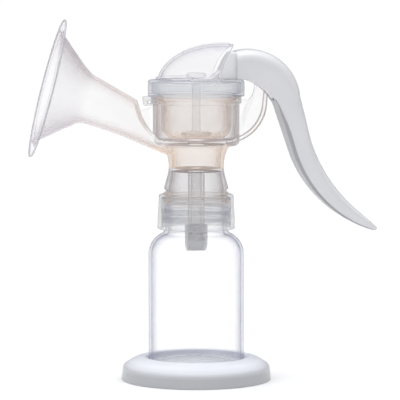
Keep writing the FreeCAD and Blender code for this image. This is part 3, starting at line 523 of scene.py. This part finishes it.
tube_outside = combined("tube_outside", flare("flare", 0, -23.6, 62.0),
                        ("DIFFERENCE", across("bowl", *BOWL, BOWL_RADIUS, 70, 160)))
tube_inside = combined("tube_inside", flare("flare_hollow", TUBE_WALL, -30.0, 62.0),
                       ("DIFFERENCE", across("bowl_wall", *BOWL, BOWL_RADIUS + TUBE_WALL, 70, 160)))
rim = tilted(turned("rim", rounded([(0, 0.05), (LIP_END, 0.0, 0.3), (42.3, 0.65, 0.3),
                                    (LIP_END, 1.3, 0.3), (35.5, 1.4), (0, 1.4)], 3)))
web = rounded([(24.9, 142.0), (17.2, 142.1)] + bow((17.2, 142.1), (42.6, 167.5), 25.4, 24)
              + [(43.9, 180.7), (39.9, 182.7), (35.7, 180.7), (34.6, 173.0)]
              + bow((34.6, 173.0), (31.7, 168.3), -8, 6) + [(24.9, 167.8)])
rib = [(18.2, 142.1)] + bow((18.2, 142.1), (42.6, 167.5), 25.4, 24) + [
    (43.9, 180.7), (41.7, 180.7), (40.4, 167.5)] + bow((40.4, 167.5), (18.2, 144.3), -23.2, 24)
left_web = [(-34.6, 161.5), (-34.6, 156.5)] + bow((-34.6, 156.5), (-28, 149), 30.6, 6)
left_web += bow((-28, 149), (-19, 142.5), 30.6, 6) + [(-24.9, 164.9)]
lug = [(-31.8, 165.2), (-24.9, 165.2), (-24.9, 170.5), (-31.8, 170.5)]
lug_slot = [(-29.2, 166.2), (-27.2, 166.2), (-27.2, 168.0), (-29.2, 168.0)]

moulding = combined(
    "moulding", turned("hull", hull), ("UNION", tube_outside), ("UNION", rim),
    ("DIFFERENCE", turned("cup", cup)), ("DIFFERENCE", turned("chamber", chamber)),
    ("DIFFERENCE", turned("skirt", skirt)), ("DIFFERENCE", rod("air_hole", 5.0, 140.4, 145.2)),
    ("DIFFERENCE", rod("spout_bore", 3.2, 87.0, 128.4)), ("DIFFERENCE", tube_inside))
lug_block = combined("lug", bevelled(slab("lug", lug, 9.0), 0.6),
                     ("DIFFERENCE", slab("lug_slot", lug_slot, 20)))
moulding = joined(
    "moulding", moulding, slab("web", web, 2.0), bevelled(slab("rib", rib, 6.4), 0.5),
    bevelled(across("boss", *PIVOT, 4.6, 6.4, 48), 0.4),
    bevelled(across("trunnions", *PIVOT, 2.5, 14.0, 40), 0.4),
    slab("left_web", left_web, 2.0), lug_block)
body = piece("moulding", moulding, MILKY, "pump_head", "body_plastic", "pump_cup", "pump_neck",
             "breast_shield")
for extra in (LIP, LIP_EDGE, GREY):
    body.data.materials.append(extra)
FLAT_SLOT, EDGE_SLOT, LUG_SLOT = 1, 2, 3
LIP_DEPTH = 1.6
LUG_BOX = ((-32.0, -25.5), (-4.6, 4.6), (165.1, 170.6))  # low and high of x, y and z
lip_centre = Vector(((AXIS + RIM.x) * MM, 0, RIM.y * MM))
lip_axis = Vector((CONE.x, 0, CONE.y))
for face in body.data.polygons:
    reach = face.center - lip_centre
    depth = reach.dot(lip_axis)
    radius = (reach - lip_axis * depth).length
    if depth < LIP_DEPTH * MM and radius > LIP_START * MM:
        face.material_index = EDGE_SLOT if radius > LIP_END * MM else FLAT_SLOT
    place = (face.center.x / MM - AXIS, face.center.y / MM, face.center.z / MM)
    if all(low < value < high for value, (low, high) in zip(place, LUG_BOX)):
        face.material_index = LUG_SLOT

# ---------------------------------------------------------------- valve, diaphragm and stem


def bill(name, inset, top, bottom, slit, sleeve=6.8, steps=14):
    """The valve's bill, from a round sleeve to flat lips with rounded lower corners."""
    rings = []
    for i in range(steps + 1):
        t = i / steps
        z = top + (bottom - top) * t
        along_x = (sleeve - 1.1 * t ** 3) - inset
        along_y = sleeve + (slit - sleeve) * (1 - (1 - t) ** 1.6) - inset * (1 - t)
        power = 2 + 2.0 * t
        ring = []
        for k in range(64):
            a = 2 * math.pi * k / 64
            c, s = math.cos(a), math.sin(a)
            ring.append((along_x * math.copysign(abs(c) ** (2 / power), c),
                         along_y * math.copysign(abs(s) ** (2 / power), s), z))
        rings.append(ring)
    return lofted(name, rings)


valve = combined(
    "valve",
    turned("sleeve", rounded([(0, 83.9), (6.8, 83.9), (6.8, 93.4, 0.8), (0, 93.4)], 4), 64),
    ("UNION", bill("bill", 0, 84.0, 77.7, 1.2)),
    ("DIFFERENCE", bill("bill_hollow", 1.3, 84.2, 77.6, 0.15)),
    ("DIFFERENCE", rod("sleeve_bore", 5.02, 84.0, 94)))
piece("valve", bevelled(valve, 0.3, 50, 2), VALVE, "pump_head", "silicone", "duckbill_valve",
      sharp=40)

diaphragm = rounded([
    (0, 145.4), (21.0, 145.4, 7.0), (21.0, 165.2, 1.5), (23.6, 169.2, 0.3), (26.1, 169.2, 0.2),
    (26.1, 170.5, 0.2), (22.7, 170.5, 0.3), (19.8, 165.2, 2.0), (19.8, 146.6, 5.8),
    (9.3, 146.6, 0.2), (9.3, 149.2, 0.3), (8.1, 149.2, 0.2), (8.1, 146.6), (0, 146.6),
], 8)
soft = piece("diaphragm_cup", turned("diaphragm_cup", diaphragm), SILICONE, "pump_head", "silicone",
             "diaphragm")
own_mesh(soft)

rod_outline = rounded([
    (0, 146.7), (8.0, 146.7, 0.4), (8.0, 148.9, 0.5), (2.6, 148.9, 2.4), (2.6, 181.6, 0.4),
    (6.0, 181.6, 0.4), (6.0, 184.4, 1.0), (0, 184.4),
], 6)
piece("stem_rod", turned("stem_rod", rod_outline, 72), STEM, "stem", "stem_plastic", "stem")

# ---------------------------------------------------------------- cover ring and hood

cover = rounded([
    (23.0, 170.6), (28.8, 170.6, 0.3), (29.0, 171.2), (29.0, 172.6), (28.6, 172.8), (28.6, 173.3),
    (29.0, 173.5), (29.0, 177.2), (28.7, 177.4), (28.7, 177.9), (29.0, 178.1), (28.6, 180.3, 1.7),
    (15.5, 180.3, 0.4), (15.5, 178.8, 0.4), (26.8, 178.8, 0.6), (26.8, 172.1, 0.4),
    (23.0, 172.1, 0.3),
], 5)
piece("cover", turned("cover", cover), RING, "pump_head", "ring_plastic", "cover_ring")


HOOD_X, HOOD_Z = 15.5, 178.0  # the middle of the hood's ellipsoid
HOOD_LONG, HOOD_WIDE, HOOD_HIGH = 39.0, 24.4, 23.8  # its radii


def dome(name, inset, along_steps=48, around=112):
    """The hood's ellipsoid within its round foot."""
    ball = []
    for i in range(along_steps + 1):
        a = math.pi * i / along_steps
        ring = []
        for k in range(around):
            b = 2 * math.pi * k / around
            ring.append((HOOD_X + (HOOD_LONG - inset) * math.cos(a),
                         (HOOD_WIDE - inset) * math.sin(a) * math.cos(b),
                         HOOD_Z + (HOOD_HIGH - inset) * math.sin(a) * math.sin(b)))
        ball.append(ring)
    column = turned(name + "_column", [(0, 180.4 - inset), (22.8 - inset, 180.4 - inset),
                                       (22.8 - inset, 220), (0, 220)])
    return combined(name, lofted(name, ball, False), ("INTERSECT", column))


hood = combined(
    "hood", dome("hood", 0),
    ("UNION", turned("hood_foot", rounded([(21.0, 180.4), (24.2, 180.4, 0.3), (24.2, 181.9, 0.5),
                                           (21.0, 181.9)], 4))),
    ("DIFFERENCE", dome("hood_hollow", 1.4)),
    ("DIFFERENCE", across("hood_mouth", 51.2, 173.7, 40.0, 90, 192)))
spine = []
for i in range(19):
    x = -8.0 + 28.2 * i / 18
    crown = HOOD_Z + HOOD_HIGH * math.sqrt(1 - ((x - HOOD_X) / HOOD_LONG) ** 2)
    rise = 0.75 * math.sin(math.pi * min(1, (i + 1.5) / 12)) ** 0.5 if i < 5 else 0.75
    spine.append([(x, 1.9 * math.cos(a), crown - 0.5 + (0.5 + rise) * math.sin(a))
                  for a in [2 * math.pi * k / 24 for k in range(24)]])
hood = joined("hood", hood, lofted("spine", spine))
piece("hood_dome", hood, HOOD, "hood", "hood_plastic", "cover_hood")

# ---------------------------------------------------------------- handle

BACK = [(23.1, 197.6)] + bow((23.1, 197.6), (62.3, 170.6), -31.4, 240)
BACK += [(65.85, 156.5), (69.4, 142.4)] + bow((69.4, 142.4), (98.0, 101.0), 94, 240)
BACK += [(109.6, 91.0)]
PALM = [(23.1, 180.8), (24.6, 180.8)] + bow((24.6, 180.8), (49.2, 161.0), -27, 240)
PALM += [(53.0, 149.4), (56.9, 137.7)] + bow((56.9, 137.7), (108.6, 88.7), 74, 240)


TAPER_START, ROUNDING_START, TIP = 44.0, 98.0, 110.5  # along x
WIDE, NARROWED = 13.0, 6.5  # half the width at the shoulder, and how much of it goes by the tip
SHELL_WALL = 4.6


def half_width(x):
    """Half the handle's width, which narrows towards the tip and is rounded there."""
    rounding = 0.8 * max(0, (x - ROUNDING_START) / (TIP - ROUNDING_START)) ** 2
    taper = max(0, x - TAPER_START) * NARROWED / (TIP - TAPER_START)
    return (WIDE - taper) * math.sqrt(1 - rounding)


def handle_section(t, top, bottom, inset, crown, sole, count=64):
    """A cross-section of the handle between two shares of its thickness (0 palm, 1 back).

    crown and sole are how square its upper and lower corners are.
    """
    back, palm = along(BACK, t)[0], along(PALM, t)[0]
    up = back - palm
    thick = up.length
    up = up / thick
    near, far = palm + up * (thick * bottom), palm + up * (thick * top)
    middle, half = (near + far) / 2, (far - near).length / 2
    wide = half_width(middle.x) - inset
    ring = []
    for k in range(count):
        a = 2 * math.pi * k / count
        c, s = math.cos(a), math.sin(a)
        power = crown if s > 0 else sole
        y = wide * math.copysign(abs(c) ** (2 / power), c)
        h = half * math.copysign(abs(s) ** (2 / power), s)
        ring.append((middle.x + up.x * h, y, middle.y + up.y * h))
    return ring


def stations(start, end, count):
    """Evenly spaced values from start to end."""
    return [start + (end - start) * i / count for i in range(count + 1)]


def closed_end(rings, reach=0.85):
    """Adds a rounded end after the last ring, reach mm long."""
    last = [Vector(p) for p in rings[-1]]
    before = [Vector(p) for p in rings[-2]]
    centre = sum(last, Vector()) / len(last)
    way = (centre - sum(before, Vector()) / len(before)).normalized()
    for angle in (30, 60, 85):
        a = math.radians(angle)
        rings.append([tuple(centre + (p - centre) * math.cos(a) + way * reach * math.sin(a))
                      for p in last])
    return rings


def band(t):
    """Share of the thickness that the cover strip takes: a wedge that starts behind the pivot."""
    grown = min(max((t - 0.2) / 0.2, 0), 1)
    return 0.003 + 0.12 * grown * grown * (3 - 2 * grown) * (1 - 0.5 * max(0, t - 0.4) / 0.6)


shell_rings = [handle_section(t, 1.0, band(t) if t > 0.2 else 0.0, 0, 3.0, 24.0)
               for t in stations(0, 1.0, 120)]
shell_outer = lofted("shell", closed_end(shell_rings))
inner_back = []
for t in stations(0, 0.24, 16):
    point, way = along(BACK, t)
    inner_back.append((point.x + way.y * SHELL_WALL, point.y - way.x * SHELL_WALL))
throat = [(20.0, 176.0), (46.9, 157.0), (46.9, 172.0), (49.0, 176.5)]
throat += [p for p in reversed(inner_back) if p[0] < 52] + [(20.0, 193.0)]
shell = combined("shell", shell_outer, ("DIFFERENCE", slab("throat", throat, 20.4)))
piece("handle_back", bevelled(shell, 0.35, 45), HANDLE, "lever", "handle_plastic",
      "handle_shell", sharp=40)

# The strip along the palm side wears the darker copy of the handle's plastic: painted shade.
strip_rings = [handle_section(t, band(t) + 0.03, 0.0, 0.06, 24.0, 9.0)
               for t in stations(0.205, 0.99, 100)]
piece("handle_strip", lofted("strip", closed_end(strip_rings)), LEVER_PAINTED_SHADE, "lever", "lever_plastic",
      sharp=40)

arm_outline = [(12.5, 180.9), (24.6, 180.9)] + bow((24.6, 180.9), (45.0, 168.6), -27, 14) + [
    (46.5, 174.0), (47.0, 186.0), (45.6, 187.9), (38.0, 192.4), (27.5, 196.6), (19.8, 196.9)]
arm_outline += bow((19.8, 196.9), (12.5, 180.9), 39.4, 16)[:-1]
tines = [(-4.0, 178.5), (12.4, 178.5), (12.6, 180.9), (16.0, 186.0), (13.9, 186.0),
         (8.2, 181.3), (0.6, 181.3), (-4.0, 180.0)]
fork_gap = [(-5, 177.5), (3.8, 177.5), (3.8, 182.3), (-5, 182.3)]
bracket_gap = [(26.9, 176.7), (35.9, 158.0), (47.9, 158.0), (47.9, 174.7), (45.3, 188.1),
               (33.9, 188.1), (26.9, 183.7)]
arm = combined(
    "arm", bevelled(slab("arm", arm_outline, 19.0), 0.9, 60),
    ("UNION", bevelled(slab("tines", tines, 13.0), 0.4)),
    ("DIFFERENCE", slab("fork_gap", fork_gap, 6.4)),
    ("DIFFERENCE", slab("bracket_gap", bracket_gap, 7.4)),
    ("DIFFERENCE", across("bores", *PIVOT, 2.55, 14.6, 40)))
# The arm wears the lighter copy of the handle's plastic: painted light.
piece("handle_arm", arm, ARM_PAINTED_LIGHT, "lever", "handle_plastic", "handle_lever", sharp=40)

# ---------------------------------------------------------------- the CAD node that stays

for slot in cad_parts["neck_seal"].material_slots:
    slot.material = SILICONE

# ---------------------------------------------------------------- floor, light and camera

floor = Nodes(bpy.data.materials.new("floor"))
pale = floor.mixed(floor.spread(floor.noise(3.0), 0, 1),
                   (0.90, 0.90, 0.90, 1), (0.92, 0.92, 0.92, 1))
floor_material = floor.finish(
    floor.add("ShaderNodeBsdfPrincipled", {"Base Color": pale, "Roughness": 0.9,
                                           "Specular IOR Level": 0.1}).outputs[0])
GROUND = 60.0  # how far the floor goes each way, in metres
ground = bpy.data.meshes.new("ground")
ground.from_pydata([(-GROUND, -GROUND, 0), (GROUND, -GROUND, 0), (GROUND, GROUND, 0),
                    (-GROUND, GROUND, 0)], [], [(0, 1, 2, 3)])
ground.materials.append(floor_material)
thing("ground", ground)

# The world lights from above, and shows the camera plain white, so that no horizon is seen.
sky = Nodes(bpy.data.worlds.new("studio"))
height = sky.parts("Generated")["Z"]
rise = sky.maths("POWER", sky.maths("MAXIMUM", height, 0.0), 2.0)
strength = sky.maths("ADD", sky.maths("MULTIPLY", rise, 2.1), 0.1)
light = sky.add("ShaderNodeBackground", {"Color": (0.985, 0.99, 1.0, 1), "Strength": strength})
backdrop = sky.add("ShaderNodeBackground", {"Color": (1, 1, 1, 1)})
to_camera = sky.add("ShaderNodeLightPath").outputs["Is Camera Ray"]
seen = sky.add("ShaderNodeMixShader", {0: to_camera, 1: light.outputs[0], 2: backdrop.outputs[0]})
bpy.context.scene.world = sky.finish(seen.outputs[0], "ShaderNodeOutputWorld")


def soft_box(name, place, target, size, power):
    """A rectangular lamp at a place, turned to a target."""
    lamp = bpy.data.lights.new(name, "AREA")
    lamp.shape, lamp.size, lamp.size_y, lamp.energy = "RECTANGLE", size[0], size[1], power
    obj = bpy.data.objects.new(name, lamp)
    bpy.context.scene.collection.objects.link(obj)
    obj.location = place
    obj.rotation_euler = (Vector(target) - Vector(place)).to_track_quat("-Z", "Y").to_euler()


soft_box("top_light", (0.1, 0.1, 1.5), (0, 0, 0.1), (1.0, 0.8), 3)
soft_box("left_light", (-1.3, -0.7, 0.8), (0, 0, 0.12), (0.5, 1.0), 1.5)

camera = bpy.data.objects.new("camera", bpy.data.cameras.new("camera"))
bpy.context.scene.collection.objects.link(camera)
camera.data.sensor_width, camera.data.lens = 36, 255
camera.data.clip_start, camera.data.clip_end = 0.05, 50
eye = Vector(((AXIS - 209.9) * MM, -1.680, 0.2583))
aim = Vector(((AXIS + 2.3) * MM, 0, 0.1081))
camera.location = eye
camera.rotation_euler = (aim - eye).to_track_quat("-Z", "Y").to_euler()
bpy.context.scene.camera = camera
bpy.context.scene.view_settings.view_transform = "Standard"
bpy.context.scene.cycles.transparent_max_bounces = 40
